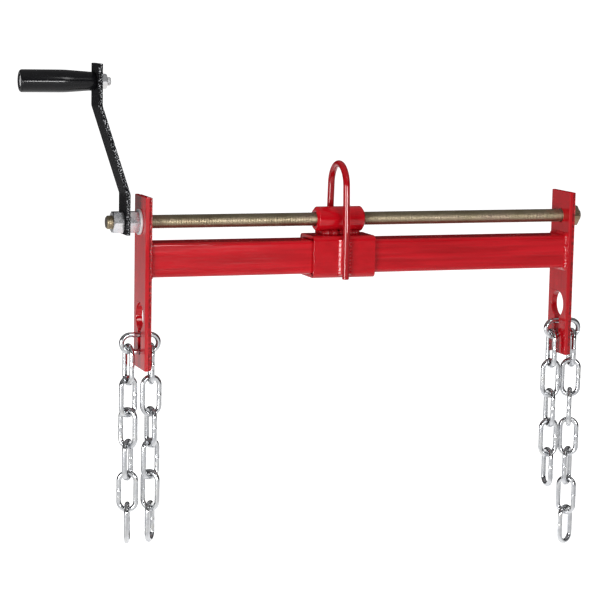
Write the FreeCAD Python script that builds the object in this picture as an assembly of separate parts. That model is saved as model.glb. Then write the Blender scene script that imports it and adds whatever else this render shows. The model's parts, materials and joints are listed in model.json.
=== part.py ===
import FreeCAD, Part
import math
import os

# Engine load leveler. A square beam with a plate welded across each end slides through a collar
# that hangs on a hoist hook. A crank turns a screw above the beam, the collar's nut runs along the
# screw, and so the load on the two chains tips. Millimetres, +X along the beam away from the crank,
# +Z up, origin at the hook's seat inside the lifting loop.

# Main beam, a square tube
beam_size = 40.0
beam_wall = 3.0
beam_corner_radius = 4.0
beam_length = 530.0
beam_weld_leg = 5.0
beam_weld_toe = 0.6

# End plates, flat bar with a hole for the screw and a keyhole for the chain
plate_thickness = 8.0
plate_side_margin = 5.0
plate_edge_round = 0.8
plate_top_margin = 30.6
plate_bottom_margin = 16.5
keyhole_below_beam = 31.0
keyhole_dia = 32.0
slot_width = 12.0
slot_reach = 45.0
screw_hole_clearance = 0.5

# Carriage: collar, nut and lifting loop
carriage_offset = 28.7
collar_wall = 4.5
collar_length = 78.0
collar_inner_radius = 1.5
slide_clearance = 0.5
carriage_nut_dia = 30.0
carriage_nut_length = 60.0
carriage_nut_chamfer = 2.5
saddle_height = 3.4
saddle_half_width = 13.5
saddle_end_margin = 2.5
saddle_wrap_deg = 48.0
saddle_bulge = 0.8
loop_rod_dia = 8.2
loop_hook_room = 46.6
loop_draw_in = 3.0
loop_tail = 1.2
loop_shoulder = 4.0
loop_bend_radius = 60.0
loop_weld_leg = 4.6
loop_weld_root_share = 0.4
loop_weld_margin = 3.0
loop_weld_bulge = 0.5

# Lead screw, its nuts and washer
screw_dia = 16.0
screw_end_chamfer = 1.5
screw_nut_clearance = 0.1
screw_overhang_crank = 6.5
screw_overhang_far = 4.0
nut_flats = 24.0
nut_height = 13.0
nut_chamfer_share = 0.95
nut_chamfer_deg = 30.0
thread_clearance = 0.05
washer_dia = 30.0
washer_thickness = 3.0
thrust_clearance = 0.1

# Crank arm, a flat bar bent twice
arm_width = 36.0
arm_thickness = 5.0
arm_tail = 14.0
arm_first_bend = 33.0
arm_bend_to_grip = 27.5
arm_tip = 20.5
arm_throw = 33.5
arm_bend_radius = 9.0
crank_radius = 161.5

# Hand grip, turning on a shoulder bolt
grip_length = 87.0
grip_dia = 26.0
grip_barrel_length = 50.0
grip_neck_dia = 21.0
grip_end_round = 3.0
grip_float = 0.3
grip_bore_clearance = 0.1
grip_recess_depth = 6.0
grip_recess_clearance = 0.5
grip_bolt_dia = 11.0
grip_bolt_head_dia = 15.0
grip_bolt_head_height = 4.8
grip_bolt_head_round = 1.2
grip_thread_dia = 10.0
grip_thread_overhang = 5.0
grip_nut_flats = 17.0
grip_nut_height = 8.0

# Chain of welded links, one link of each chain through the slot of a keyhole
link_wire_dia = 6.4
link_inside_length = 38.0
link_inside_width = 13.6
link_seat_gap = 0.3
strand_end_room = 1.7

# How far the link in each slot lies along X from the middle of its plate
crank_link_shift = -3.0
far_link_shift = 4.0

# Turn of each hanging link's flat from the beam's cross direction, in degrees, top link first
crank_outer_turns = [-9, 67, 138, 36, 110, 20]
crank_inner_turns = [9, 90, -11, 67, 138, 33]
far_inner_turns = [2, 94, 0, 92, 0]
far_outer_turns = [9, 112, 27, 117, 45, 135, 64]

# How far a cutting tool runs past the faces it cuts
overrun = 2.0

V = FreeCAD.Vector
X_AXIS = V(1, 0, 0)
Y_AXIS = V(0, 1, 0)
Z_AXIS = V(0, 0, 1)

# Places that follow from the sizes above
beam_half = beam_size / 2
plate_width = beam_size + 2 * plate_side_margin
collar_half = beam_half + slide_clearance + collar_wall
screw_radius = screw_dia / 2
screw_height = collar_half + saddle_height + carriage_nut_dia / 2
hook_height = screw_height + carriage_nut_dia / 2 + loop_hook_room
beam_z = -hook_height
screw_z = beam_z + screw_height
collar_top_z = beam_z + collar_half
plate_top_z = screw_z + plate_top_margin
keyhole_z = beam_z - beam_half - keyhole_below_beam - keyhole_dia / 2
slot_end_z = keyhole_z - slot_reach
plate_bottom_z = slot_end_z - plate_bottom_margin
beam_start_x = carriage_offset - beam_length / 2
beam_end_x = beam_start_x + beam_length
crank_face_x = beam_start_x - plate_thickness
far_face_x = beam_end_x + plate_thickness

# The crank's stack along the screw, outwards from the plate
washer_x = crank_face_x - thrust_clearance - washer_thickness
inner_nut_x = washer_x - nut_height
arm_x = inner_nut_x - arm_thickness
outer_nut_x = arm_x - nut_height
screw_start_x = outer_nut_x - screw_overhang_crank
far_nut_x = far_face_x + thrust_clearance
screw_end_x = far_nut_x + nut_height + screw_overhang_far
grip_z = screw_z + crank_radius
grip_arm_x = arm_x - arm_throw
grip_start_x = grip_arm_x - grip_float - grip_length


def extruded(edges, direction):
    """A solid from a closed flat outline and the direction it is drawn out along."""
    return Part.Face(Part.Wire(edges)).extrude(direction)


def line(start, end):
    return Part.LineSegment(start, end).toShape()


def arc(start, middle, end):
    return Part.Arc(start, middle, end).toShape()


def rounded_square(size, radius, x):
    """Outline of a square with round corners, across the beam at x."""
    flat = size / 2 - radius
    edges = []
    for quarter in range(4):
        turn = FreeCAD.Rotation(X_AXIS, 90 * quarter)
        middle = radius * math.sqrt(0.5)
        points = [
            V(0, size / 2, -flat),
            V(0, size / 2, flat),
            V(0, flat + middle, flat + middle),
            V(0, flat, size / 2),
        ]
        side_start, side_end, corner, corner_end = [
            turn.multVec(point) + V(x, 0, beam_z) for point in points
        ]
        edges += [line(side_start, side_end), arc(side_end, corner, corner_end)]
    return Part.Wire(edges)


def square_bar(size, radius, x, length):
    return Part.Face(rounded_square(size, radius, x)).extrude(X_AXIS * length)


def round_bar(radius, x, length, z):
    return Part.makeCylinder(radius, length, V(x, 0, z), X_AXIS)


def turned(profile, z):
    """A solid turned about a line along X at height z, from points of (along, radius)."""
    points = [V(along, 0, z + radius) for along, radius in profile]
    points = [V(profile[0][0], 0, z)] + points + [V(profile[-1][0], 0, z)]
    face = Part.Face(Part.makePolygon(points + points[:1]))
    return face.revolve(V(0, 0, z), X_AXIS, 360)


def hex_nut(x, flats, height, bore_radius, z):
    """A nut on a line along X at height z, with a corner to the front and both faces chamfered."""
    corner = flats / math.sqrt(3)
    points = []
    for side in range(7):
        angle = math.radians(60 * side)
        points.append(V(x, corner * math.cos(angle), z + corner * math.sin(angle)))
    blank = Part.Face(Part.makePolygon(points)).extrude(X_AXIS * height)
    face_radius = nut_chamfer_share * flats / 2
    slope = (corner - face_radius) * math.tan(math.radians(nut_chamfer_deg))
    profile = [
        (x, face_radius),
        (x + slope, corner),
        (x + height - slope, corner),
        (x + height, face_radius),
    ]
    bore = round_bar(bore_radius, x - overrun, height + 2 * overrun, z)
    return blank.common(turned(profile, z)).cut(bore)


def main_beam():
    outside = square_bar(beam_size, beam_corner_radius, beam_start_x, beam_length)
    inner_radius = beam_corner_radius - min(beam_wall, beam_corner_radius / 2)
    inside = square_bar(
        beam_size - 2 * beam_wall, inner_radius, beam_start_x - overrun, beam_length + 2 * overrun
    )
    return outside.cut(inside)


def end_plate(x):
    """A plate whose near face is at x, with its screw hole and keyhole."""
    height = plate_top_z - plate_bottom_z
    plate = Part.makeBox(plate_thickness, plate_width, height, V(x, -plate_width / 2, plate_bottom_z))
    plate = plate.makeFillet(plate_edge_round, plate.Edges)
    depth = plate_thickness + 2 * overrun
    start = x - overrun
    slot_radius = slot_width / 2
    slot = Part.makeBox(
        depth, slot_width, slot_reach - slot_radius, V(start, -slot_radius, slot_end_z + slot_radius)
    )
    cuts = [
        round_bar(screw_radius + screw_hole_clearance, start, depth, screw_z),
        round_bar(keyhole_dia / 2, start, depth, keyhole_z),
        round_bar(slot_radius, start, depth, slot_end_z + slot_radius),
        slot,
    ]
    return plate.cut(cuts)


def beam_weld(plate_x, outward):
    """A bead round the beam, wide at the plate and thin where it ends along the beam."""
    wide = rounded_square(
        beam_size + 2 * beam_weld_leg, beam_corner_radius + beam_weld_leg, plate_x
    )
    thin = rounded_square(
        beam_size + 2 * beam_weld_toe,
        beam_corner_radius + beam_weld_toe,
        plate_x + outward * beam_weld_leg,
    )
    bead = Part.makeLoft([wide, thin], True, True)
    core_x = min(plate_x, plate_x + outward * beam_weld_leg) - overrun
    core = square_bar(beam_size, beam_corner_radius, core_x, beam_weld_leg + 2 * overrun)
    return bead.cut(core)


def carriage_collar():
    start = -collar_length / 2
    inside_size = beam_size + 2 * slide_clearance
    outside_radius = collar_inner_radius + collar_wall
    outside = square_bar(2 * collar_half, outside_radius, start, collar_length)
    inside = square_bar(
        inside_size, collar_inner_radius, start - overrun, collar_length + 2 * overrun
    )
    return outside.cut(inside)


def carriage_nut():
    start = -carriage_nut_length / 2
    end = carriage_nut_length / 2
    radius = carriage_nut_dia / 2
    profile = [
        (start, radius - carriage_nut_chamfer),
        (start + carriage_nut_chamfer, radius),
        (end - carriage_nut_chamfer, radius),
        (end, radius - carriage_nut_chamfer),
    ]
    bore_length = carriage_nut_length + 2 * overrun
    bore = round_bar(screw_radius + screw_nut_clearance, start - overrun, bore_length, screw_z)
    return turned(profile, screw_z).cut(bore)


def nut_saddle_weld():
    """Weld under the nut, drawn out along the screw, with sides that swell between collar and nut."""
    radius = carriage_nut_dia / 2
    start = -carriage_nut_length / 2 + carriage_nut_chamfer + saddle_end_margin
    length = -2 * start
    wrap = math.radians(saddle_wrap_deg)
    top_y = radius * math.sin(wrap)
    top_z = screw_z - radius * math.cos(wrap)
    swell_y = (saddle_half_width + top_y) / 2 + saddle_bulge
    swell_z = (collar_top_z + top_z) / 2 + saddle_bulge
    foot_right = V(start, saddle_half_width, collar_top_z)
    foot_left = V(start, -saddle_half_width, collar_top_z)
    top_right = V(start, top_y, top_z)
    top_left = V(start, -top_y, top_z)
    edges = [
        line(foot_left, foot_right),
        arc(foot_right, V(start, swell_y, swell_z), top_right),
        line(top_right, top_left),
        arc(top_left, V(start, -swell_y, swell_z), foot_left),
    ]
    nut = round_bar(radius, start - overrun, length + 2 * overrun, screw_z)
    return extruded(edges, X_AXIS * length).cut(nut)


def lifting_loop():
    """Round bar: up each side of the collar, leaning in a little, then round over the hook's seat."""
    rod_radius = loop_rod_dia / 2
    leg_y = collar_half + rod_radius
    arch_radius = leg_y - loop_draw_in
    arch_z = rod_radius - arch_radius
    bend_z = collar_top_z + loop_shoulder
    rise = arch_z - bend_z
    lean = math.acos(arch_radius / math.hypot(leg_y, rise)) - math.atan2(rise, leg_y)
    tangent_y = arch_radius * math.cos(lean)
    tangent_z = arch_z + arch_radius * math.sin(lean)
    bend_run = loop_bend_radius * math.tan(abs(lean) / 2)
    lean_y = -math.sin(lean)
    lean_z = math.cos(lean)
    half_lean = lean / 2
    sagitta = loop_bend_radius * (1 / math.cos(half_lean) - 1)
    side = [
        V(0, leg_y, beam_z - collar_half - loop_tail),
        V(0, leg_y, bend_z - bend_run),
        V(0, leg_y - sagitta * math.cos(half_lean), bend_z - sagitta * math.sin(half_lean)),
        V(0, leg_y + bend_run * lean_y, bend_z + bend_run * lean_z),
        V(0, tangent_y, tangent_z),
    ]
    other = [V(0, -point.y, point.z) for point in side]
    crown = V(0, 0, arch_z + arch_radius)
    path = Part.Wire(
        [
            line(side[0], side[1]),
            arc(side[1], side[2], side[3]),
            line(side[3], side[4]),
            arc(side[4], crown, other[4]),
            line(other[4], other[3]),
            arc(other[3], other[2], other[1]),
            line(other[1], other[0]),
        ]
    )
    section = Part.Wire(Part.Circle(side[0], Z_AXIS, rod_radius).toShape())
    return path.makePipeShell([section], True, False)


def loop_weld(front, along):
    """One bead in the corner between a leg of the loop and the collar, on one side of the leg."""
    rod_radius = loop_rod_dia / 2
    start_z = beam_z - collar_half + loop_weld_margin
    length = 2 * collar_half - 2 * loop_weld_margin
    face_y = front * collar_half
    leg_y = front * (collar_half + rod_radius)
    root_x = along * rod_radius * loop_weld_root_share
    toe_x = along * (rod_radius + loop_weld_leg)
    edge_x = along * rod_radius
    swell_x = (toe_x + edge_x) / 2 + along * loop_weld_bulge
    swell_y = (face_y + leg_y) / 2 + front * loop_weld_bulge
    root = V(root_x, face_y, start_z)
    toe = V(toe_x, face_y, start_z)
    edge = V(edge_x, leg_y, start_z)
    inner = V(root_x, leg_y, start_z)
    edges = [
        line(root, toe),
        arc(toe, V(swell_x, swell_y, start_z), edge),
        line(edge, inner),
        line(inner, root),
    ]
    leg = Part.makeCylinder(
        rod_radius, length + 2 * overrun, V(0, leg_y, start_z - overrun), Z_AXIS
    )
    return extruded(edges, Z_AXIS * length).cut(leg)


def lead_screw():
    profile = [
        (screw_start_x, screw_radius - screw_end_chamfer),
        (screw_start_x + screw_end_chamfer, screw_radius),
        (screw_end_x - screw_end_chamfer, screw_radius),
        (screw_end_x, screw_radius - screw_end_chamfer),
    ]
    return turned(profile, screw_z)


def crank_washer():
    disc = round_bar(washer_dia / 2, washer_x, washer_thickness, screw_z)
    bore_length = washer_thickness + 2 * overrun
    bore = round_bar(screw_radius + screw_hole_clearance, washer_x - overrun, bore_length, screw_z)
    return disc.cut(bore)


def bent_path(points, radius):
    """A path through points with a round bend of one radius at each inner point."""
    edges = []
    here = points[0]
    for before, corner, after in zip(points, points[1:], points[2:]):
        into = (before - corner).normalize()
        out = (after - corner).normalize()
        half_angle = into.getAngle(out) / 2
        run = radius / math.tan(half_angle)
        inward = (into + out).normalize()
        middle = corner + inward * (radius / math.sin(half_angle) - radius)
        edges += [
            line(here, corner + into * run),
            arc(corner + into * run, middle, corner + out * run),
        ]
        here = corner + out * run
    edges.append(line(here, points[-1]))
    return Part.Wire(edges)


def crank_arm():
    """Flat bar swept along its bends, with a hole for the screw and one for the grip's bolt."""
    low_x = arm_x + arm_thickness / 2
    high_x = low_x - arm_throw
    low_z = screw_z - arm_tail
    points = [
        V(low_x, 0, low_z),
        V(low_x, 0, screw_z + arm_first_bend),
        V(high_x, 0, grip_z - arm_bend_to_grip),
        V(high_x, 0, grip_z + arm_tip),
    ]
    half_width = arm_width / 2
    half_thickness = arm_thickness / 2
    corners = [
        V(low_x + half_thickness, half_width, low_z),
        V(low_x - half_thickness, half_width, low_z),
        V(low_x - half_thickness, -half_width, low_z),
        V(low_x + half_thickness, -half_width, low_z),
    ]
    section = Part.makePolygon(corners + corners[:1])
    bar = bent_path(points, arm_bend_radius).makePipeShell([section], True, False)
    reach = arm_thickness + 2 * overrun
    screw_hole = round_bar(screw_radius + thread_clearance, arm_x - overrun, reach, screw_z)
    bolt_hole = round_bar(
        grip_thread_dia / 2 + thread_clearance, grip_arm_x - overrun, reach, grip_z
    )
    return bar.cut([screw_hole, bolt_hole])


def hand_grip():
    """Turned grip: a straight barrel that narrows to a neck at the arm, bored for its bolt."""
    end_x = grip_start_x + grip_length
    barrel = grip_dia / 2
    profile = [
        (grip_start_x, barrel),
        (grip_start_x + grip_barrel_length, barrel),
        (end_x, grip_neck_dia / 2),
    ]
    body = turned(profile, grip_z)
    rim = [
        edge
        for edge in body.Edges
        if edge.BoundBox.XLength < overrun and abs(edge.CenterOfMass.x - grip_start_x) < overrun
    ]
    body = body.makeFillet(grip_end_round, rim)
    bore_radius = grip_bolt_dia / 2 + grip_bore_clearance
    bore = round_bar(bore_radius, grip_start_x - overrun, grip_length + 2 * overrun, grip_z)
    recess_radius = grip_bolt_head_dia / 2 + grip_recess_clearance
    recess = round_bar(recess_radius, grip_start_x - overrun, grip_recess_depth + overrun, grip_z)
    return body.cut([bore, recess])


def grip_bolt():
    """Shoulder bolt: round head in the grip's recess, shank through the grip, thread through the arm."""
    head_end_x = grip_start_x + grip_recess_depth - grip_float
    head_x = head_end_x - grip_bolt_head_height
    thread_end_x = grip_arm_x + arm_thickness + grip_nut_height + grip_thread_overhang
    head = grip_bolt_head_dia / 2
    shank = grip_bolt_dia / 2
    thread = grip_thread_dia / 2
    profile = [
        (head_x, head - grip_bolt_head_round),
        (head_x + grip_bolt_head_round, head),
        (head_end_x, head),
        (head_end_x, shank),
        (grip_arm_x, shank),
        (grip_arm_x, thread),
        (thread_end_x - screw_end_chamfer, thread),
        (thread_end_x, thread - screw_end_chamfer),
    ]
    return turned(profile, grip_z)


# A link's centreline is two straight legs joined by two half circles
crown_radius = (link_inside_width + link_wire_dia) / 2
link_half = (link_inside_length + link_wire_dia) / 2
leg_half = link_half - crown_radius
strand_offset = link_inside_length / 2 - link_wire_dia / 2 - link_seat_gap - strand_end_room
slot_wire_z = slot_end_z + link_wire_dia / 2 + link_seat_gap
slot_link_z = slot_wire_z + crown_radius
crown_steps = 48


def link_shape():
    """A link standing upright in the YZ plane, centred on the origin."""
    top = V(0, 0, leg_half + crown_radius)
    right_top = V(0, crown_radius, leg_half)
    left_top = V(0, -crown_radius, leg_half)
    path = Part.Wire(
        [
            line(V(0, crown_radius, -leg_half), right_top),
            arc(right_top, top, left_top),
            line(left_top, V(0, -crown_radius, -leg_half)),
            arc(V(0, -crown_radius, -leg_half), -top, V(0, crown_radius, -leg_half)),
        ]
    )
    start = V(0, crown_radius, -leg_half)
    section = Part.Wire(Part.Circle(start, Z_AXIS, link_wire_dia / 2).toShape())
    return path.makePipeShell([section], True, False)


def across(turn):
    """The direction across the flat of a hanging link with this turn."""
    return V(math.sin(math.radians(turn)), math.cos(math.radians(turn)), 0)


def crown_line(side, apex, up):
    """Points on the centreline of a crown that runs along side, with its apex up or down."""
    points = []
    for step in range(crown_steps + 1):
        angle = math.pi * step / crown_steps
        drop = crown_radius * (1 - math.sin(angle))
        points.append(apex + side * (crown_radius * math.cos(angle)) - Z_AXIS * (up * drop))
    return points


def slot_link_line(x):
    """Points on the lower half of the centreline of the link through a slot, centred at x."""
    points = []
    for end in (-1, 1):
        for step in range(crown_steps + 1):
            angle = math.pi / 2 * step / crown_steps
            reach = leg_half + crown_radius * math.sin(angle)
            points.append(V(x + end * reach, 0, slot_link_z - crown_radius * math.cos(angle)))
    return points


def seated_top(carrier, x, turn):
    """Height of a hanging link's top crown when its wire stands the seat gap above the carrier's."""
    low = min(point.z for point in carrier)
    high = low + 2 * link_wire_dia + 2 * link_seat_gap
    wanted = link_wire_dia + link_seat_gap
    for _ in range(24):
        middle = (low + high) / 2
        crown = crown_line(across(turn), V(x, 0, middle), 1)
        if min(p.distanceToPoint(q) for p in crown for q in carrier) < wanted:
            low = middle
        else:
            high = middle
    return high


def strand_tops(x, side, turns):
    """Heights of the top crowns of the links that hang on one side of the slot link at x."""
    place = x + side * strand_offset
    carrier = slot_link_line(x)
    tops = []
    for turn in turns:
        top = seated_top(carrier, place, turn)
        tops.append(top)
        carrier = crown_line(across(turn), V(place, 0, top - 2 * link_half), -1)
    return tops


crank_link_x = crank_face_x + plate_thickness / 2 + crank_link_shift
far_link_x = far_face_x - plate_thickness / 2 + far_link_shift
strands = {
    "crank_outer_link": (crank_link_x, -1, crank_outer_turns),
    "crank_inner_link": (crank_link_x, 1, crank_inner_turns),
    "far_inner_link": (far_link_x, -1, far_inner_turns),
    "far_outer_link": (far_link_x, 1, far_outer_turns),
}
tops = {name: strand_tops(*strand) for name, strand in strands.items()}

nodes = {
    "carriage_collar": carriage_collar(),
    "carriage_nut": carriage_nut(),
    "nut_saddle_weld": nut_saddle_weld(),
    "lifting_loop": lifting_loop(),
    "loop_welds": Part.Compound([loop_weld(front, along) for front in (-1, 1) for along in (-1, 1)]),
    "main_beam": main_beam(),
    "crank_end_plate": end_plate(crank_face_x),
    "far_end_plate": end_plate(beam_end_x),
    "beam_welds": Part.Compound([beam_weld(beam_start_x, 1), beam_weld(beam_end_x, -1)]),
    "lead_screw": lead_screw(),
    "crank_washer": crank_washer(),
    "crank_inner_nut": hex_nut(
        inner_nut_x, nut_flats, nut_height, screw_radius + thread_clearance, screw_z
    ),
    "crank_arm": crank_arm(),
    "crank_outer_nut": hex_nut(
        outer_nut_x, nut_flats, nut_height, screw_radius + thread_clearance, screw_z
    ),
    "far_end_nut": hex_nut(
        far_nut_x, nut_flats, nut_height, screw_radius + thread_clearance, screw_z
    ),
    "grip_bolt": grip_bolt(),
    "grip_nut": hex_nut(
        grip_arm_x + arm_thickness,
        grip_nut_flats,
        grip_nut_height,
        grip_thread_dia / 2 + thread_clearance,
        grip_z,
    ),
    "hand_grip": hand_grip(),
}

# The links: one lies through each slot, the rest hang in the strands
upright_link = link_shape()
lying = FreeCAD.Rotation(X_AXIS + Y_AXIS + Z_AXIS, 120)
for name, x in (("crank_through_link", crank_link_x), ("far_through_link", far_link_x)):
    link = upright_link.copy()
    link.Placement = FreeCAD.Placement(V(x, 0, slot_link_z), lying)
    nodes[name] = link
for name, (x, side, turns) in strands.items():
    for number, (turn, top) in enumerate(zip(turns, tops[name]), 1):
        link = upright_link.copy()
        place = V(x + side * strand_offset, 0, top - link_half)
        link.Placement = FreeCAD.Placement(place, FreeCAD.Rotation(Z_AXIS, -turn))
        nodes[f"{name}_{number}"] = link

os.makedirs("parts", exist_ok=True)
for name, shape in nodes.items():
    shape.exportStep(f"parts/{name}.step")
    print(name, len(shape.Solids), "valid" if shape.isValid() else "broken", round(shape.Volume, 1))
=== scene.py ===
import json
import math
import bpy
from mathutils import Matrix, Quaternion, Vector


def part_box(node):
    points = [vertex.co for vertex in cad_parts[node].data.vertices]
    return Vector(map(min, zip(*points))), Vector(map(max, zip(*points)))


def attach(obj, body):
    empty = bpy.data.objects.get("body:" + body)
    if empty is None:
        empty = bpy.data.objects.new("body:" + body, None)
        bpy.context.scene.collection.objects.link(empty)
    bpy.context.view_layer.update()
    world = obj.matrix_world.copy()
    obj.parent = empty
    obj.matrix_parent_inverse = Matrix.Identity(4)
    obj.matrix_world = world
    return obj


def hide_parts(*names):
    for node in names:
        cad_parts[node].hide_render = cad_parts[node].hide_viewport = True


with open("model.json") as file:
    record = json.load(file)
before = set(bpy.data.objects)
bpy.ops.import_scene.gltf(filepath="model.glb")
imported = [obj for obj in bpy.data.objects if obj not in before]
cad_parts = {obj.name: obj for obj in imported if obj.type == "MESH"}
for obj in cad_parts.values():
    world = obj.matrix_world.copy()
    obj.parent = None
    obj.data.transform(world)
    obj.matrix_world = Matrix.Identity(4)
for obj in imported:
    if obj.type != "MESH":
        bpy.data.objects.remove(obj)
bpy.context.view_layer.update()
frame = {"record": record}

# Main beam
# The square steel tube that the carriage slides on, cold rolled with rounded corners and sawn square.
# It is welded between the end plates and sprayed gloss red with them, and the paint lies in faint
# waves along the tube. Colour streaks drawn out along it are painted reflection of those waves.
bodies = frame["record"]["behaviour"]["bodies"]
body_of_node = {node: body for body, nodes in bodies.items() for node in nodes}


def let_go():
    """Leaves edit mode and deselects everything."""
    if bpy.context.mode != "OBJECT":
        bpy.ops.object.mode_set(mode="OBJECT")
    bpy.ops.object.select_all(action="DESELECT")


def hold(piece):
    """Selects one piece alone."""
    let_go()
    piece.select_set(True)
    bpy.context.view_layer.objects.active = piece


def open_up(piece):
    """Opens a piece in edit mode with all of it selected."""
    hold(piece)
    bpy.ops.object.mode_set(mode="EDIT")
    bpy.ops.mesh.select_mode(type="VERT")
    bpy.ops.mesh.select_all(action="SELECT")


def pick(piece, kind, wanted):
    """Opens a piece with only some points, edges or faces selected, told by their middle and direction."""
    open_up(piece)
    bpy.ops.mesh.select_mode(type=kind)
    bpy.ops.mesh.select_all(action="DESELECT")
    bpy.ops.object.mode_set(mode="OBJECT")
    points = piece.data.vertices
    if kind == "VERT":
        for point in points:
            point.select = wanted(point.co, point.normal)
    if kind == "EDGE":
        for edge in piece.data.edges:
            start, end = (points[number].co for number in edge.vertices)
            edge.select = wanted((start + end) / 2, (end - start).normalized())
    if kind == "FACE":
        for face in piece.data.polygons:
            face.select = wanted(face.center, face.normal)
    bpy.ops.object.mode_set(mode="EDIT")


def close_up(piece, nearness=0.000002):
    """Merges doubled points, turns every face outwards and leaves edit mode."""
    open_up(piece)
    bpy.ops.mesh.remove_doubles(threshold=nearness)
    bpy.ops.mesh.normals_make_consistent(inside=False)
    let_go()


def finish_with(piece, kind, **settings):
    """Adds a modifier with these settings and applies it."""
    hold(piece)
    bpy.ops.object.modifier_add(type=kind)
    modifier = piece.modifiers[-1]
    for setting, value in settings.items():
        setattr(modifier, setting, value)
    bpy.ops.object.modifier_apply(modifier=modifier.name)


def placed(name):
    """Names the piece that was just added and sets its place in its mesh."""
    bpy.ops.object.transform_apply()
    bpy.context.object.name = name
    return bpy.context.object


def block(name, low, high):
    """A square block between two corners."""
    let_go()
    middle = (Vector(low) + Vector(high)) / 2
    bpy.ops.mesh.primitive_cube_add(size=1, location=middle, scale=Vector(high) - Vector(low))
    return placed(name)


def square_bar(name, low, high, corner_radius):
    """A bar along X whose four long corners are rounded."""
    bar = block(name, low, high)
    pick(bar, "EDGE", lambda middle, way: abs(way.x) > 0.9)
    bpy.ops.mesh.bevel(offset=corner_radius, segments=8, affect="EDGES")
    let_go()
    return bar


def square_tube(name, low, high, corner_radius, wall):
    """A rounded bar bored square from end to end."""
    tube = square_bar(name, low, high, corner_radius)
    pick(tube, "FACE", lambda middle, way: abs(way.x) > 0.9)
    bpy.ops.mesh.inset(thickness=wall)
    bpy.ops.mesh.bridge_edge_loops()
    close_up(tube)
    return tube


def feed(node, **inputs):
    """Sets a shader node's inputs: a socket is linked, anything else is a value."""
    for title, value in inputs.items():
        socket = node.inputs[title.replace("_", " ")]
        if isinstance(value, bpy.types.NodeSocket):
            node.id_data.links.new(value, socket)
        else:
            socket.default_value = value
    return node


def add_node(material, kind, **inputs):
    """Adds one shader node and feeds it."""
    return feed(material.node_tree.nodes.new("ShaderNode" + kind), **inputs)


def new_finish(name):
    """A material with its shader."""
    material = bpy.data.materials.new(name)
    material.use_nodes = True
    return material, material.node_tree.nodes["Principled BSDF"]


def grain(material, scale, drawn_out=(1, 1, 1), detail=2.0):
    """Noise laid over the piece's own coordinates, drawn out where a share is small."""
    place = add_node(material, "TexCoord").outputs["Object"]
    laid = add_node(material, "Mapping", Vector=place, Scale=drawn_out).outputs["Vector"]
    return add_node(material, "TexNoise", Vector=laid, Scale=scale, Detail=detail).outputs["Fac"]


def between(material, value, low, high):
    """Spreads the middle of a noise over a range of values."""
    spread = add_node(material, "MapRange", Value=value, From_Min=0.3, From_Max=0.7)
    return feed(spread, To_Min=low, To_Max=high).outputs["Result"]


def tinted(material, value, *stops):
    """Turns a value into colours, each stop a share and its colour."""
    ramp = add_node(material, "ValToRGB", Fac=value)
    elements = ramp.color_ramp.elements
    while len(elements) < len(stops):
        elements.new(0.5)
    for element, (share, colour) in zip(elements, stops):
        element.position = share
        element.color = (*colour, 1)
    return ramp.outputs["Color"]


def relief(material, value, depth, under=None):
    """Raises the surface by a value times a depth in metres, over another relief if there is one."""
    bump = add_node(material, "Bump", Height=value, Distance=depth)
    if under is not None:
        feed(bump, Normal=under)
    return bump.outputs["Normal"]


def red_enamel(name, drawn_out, wave_depth, peel_depth, streaks=0.3, painted_shade_share=1.0):
    """Sprayed gloss red with an orange peel skin, in waves drawn out one way, with colour streaks of
    painted reflection and dimming as painted shade.
    """
    paint, shader = new_finish(name)
    wave = grain(paint, 170, drawn_out, detail=4)
    # The streak colours named thin and thick are painted reflection of the paint's waves; the last factor
    # darkens both as painted shade where it is below one.
    thin = Vector((0.49 - 0.13 * streaks, 0.004 - 0.002 * streaks, 0.010 - 0.004 * streaks)) * painted_shade_share
    thick = Vector((0.49 + 0.09 * streaks, 0.004 + 0.003 * streaks, 0.010 + 0.005 * streaks)) * painted_shade_share
    red = tinted(paint, wave, (0.34, thin), (0.66, thick))
    waves = relief(paint, wave, wave_depth)
    peel = relief(paint, grain(paint, 480), peel_depth, waves)
    gloss = between(paint, grain(paint, 60), 0.035, 0.07)
    feed(shader, Base_Color=red, Roughness=gloss, Normal=peel, IOR=1.45)
    return paint


def dress(piece, node, finish, smooth_angle=35, even_flats=True):
    """Shades and paints a finished piece and lets it stand for its CAD node."""
    hold(piece)
    bpy.ops.object.shade_smooth_by_angle(angle=math.radians(smooth_angle))
    if even_flats:
        finish_with(piece, "WEIGHTED_NORMAL", keep_sharp=True)
    piece.name = node + "_look"
    piece.data.materials.clear()
    piece.data.materials.append(finish)
    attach(piece, body_of_node[node])
    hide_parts(node)


def bare(piece, finish, wanted):
    """Gives some faces of a dressed piece another finish."""
    piece.data.materials.append(finish)
    pick(piece, "FACE", wanted)
    piece.active_material_index = len(piece.data.materials) - 1
    bpy.ops.object.material_slot_assign()
    let_go()


beam_low, beam_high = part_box("main_beam")
beam_corner_radius = 0.004
beam_wall = 0.003
beam = square_tube("main_beam_look", beam_low, beam_high, beam_corner_radius, beam_wall)
beam_enamel = red_enamel("red_enamel_beam", (0.05, 1, 1), 0.0002, 0.000012, 0.75)
dress(beam, "main_beam", beam_enamel)

# End plates
# Flat steel bar welded across both ends of the beam, holding the lead screw above and a chain link in
# a keyhole slot below. The bar is sheared to width, so each narrow edge is smooth on one side and torn
# on the other, and the holes are punched.
plate_low, plate_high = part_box("crank_end_plate")
plate_edge_round = 0.0008
plate_torn_share = 0.48
plate_torn_depth = 0.0017
plate_torn_ragged = 0.0005
plate_rim_round = 0.0006
plate_rim_margin = 0.002
plate_torn_margin = 0.003
plate_hair = 0.0001
punch_overrun = 0.005
screw_hole_radius = 0.0085
keyhole_radius = 0.016
keyhole_z = -0.172
slot_half_width = 0.006
slot_end_z = -0.217
nut_low, nut_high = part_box("crank_inner_nut")
screw_z = (nut_low.z + nut_high.z) / 2


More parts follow.
